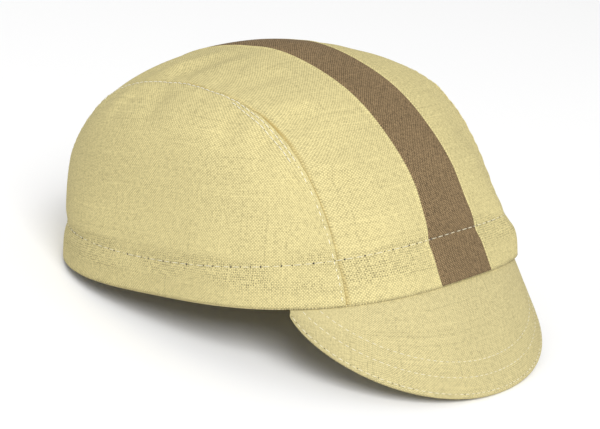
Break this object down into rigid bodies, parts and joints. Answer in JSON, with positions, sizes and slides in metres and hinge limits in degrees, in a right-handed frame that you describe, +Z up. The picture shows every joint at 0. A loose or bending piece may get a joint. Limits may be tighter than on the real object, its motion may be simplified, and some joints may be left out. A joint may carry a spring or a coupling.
{
  "type": "three-panel cap",
  "caption": "Soft cycling cap of light cloth with a long centre panel, side panels, a contrast tape over the top, a turned-up hem and a short down-turned peak.",
  "frame": {"origin": "middle of the cap's bounding box on the surface it rests on", "axes": "+Z up, the peak towards -Y, the wearer's right at -X; the cap rests on its peak's rim and the rear of its hem"},
  "size_m": [0.171, 0.2275, 0.1117],
  "materials": {
    "centre_panel": "plain weave, matt",
    "side_panel_right": "plain weave, matt",
    "side_panel_left": "plain weave, matt",
    "stripe_tape": "plain weave, matt",
    "hem_facing": "plain weave, matt",
    "peak_top": "plain weave, matt",
    "peak_underside": "plain weave, matt"
  },
  "bodies": {
    "root": {"centre_panel": "centre_panel", "side_panel_right": "side_panel_right", "side_panel_left": "side_panel_left", "stripe_tape": "stripe_tape", "hem_facing": "hem_facing", "peak_top": "peak_top", "peak_underside": "peak_underside"}
  },
  "joints": []
}
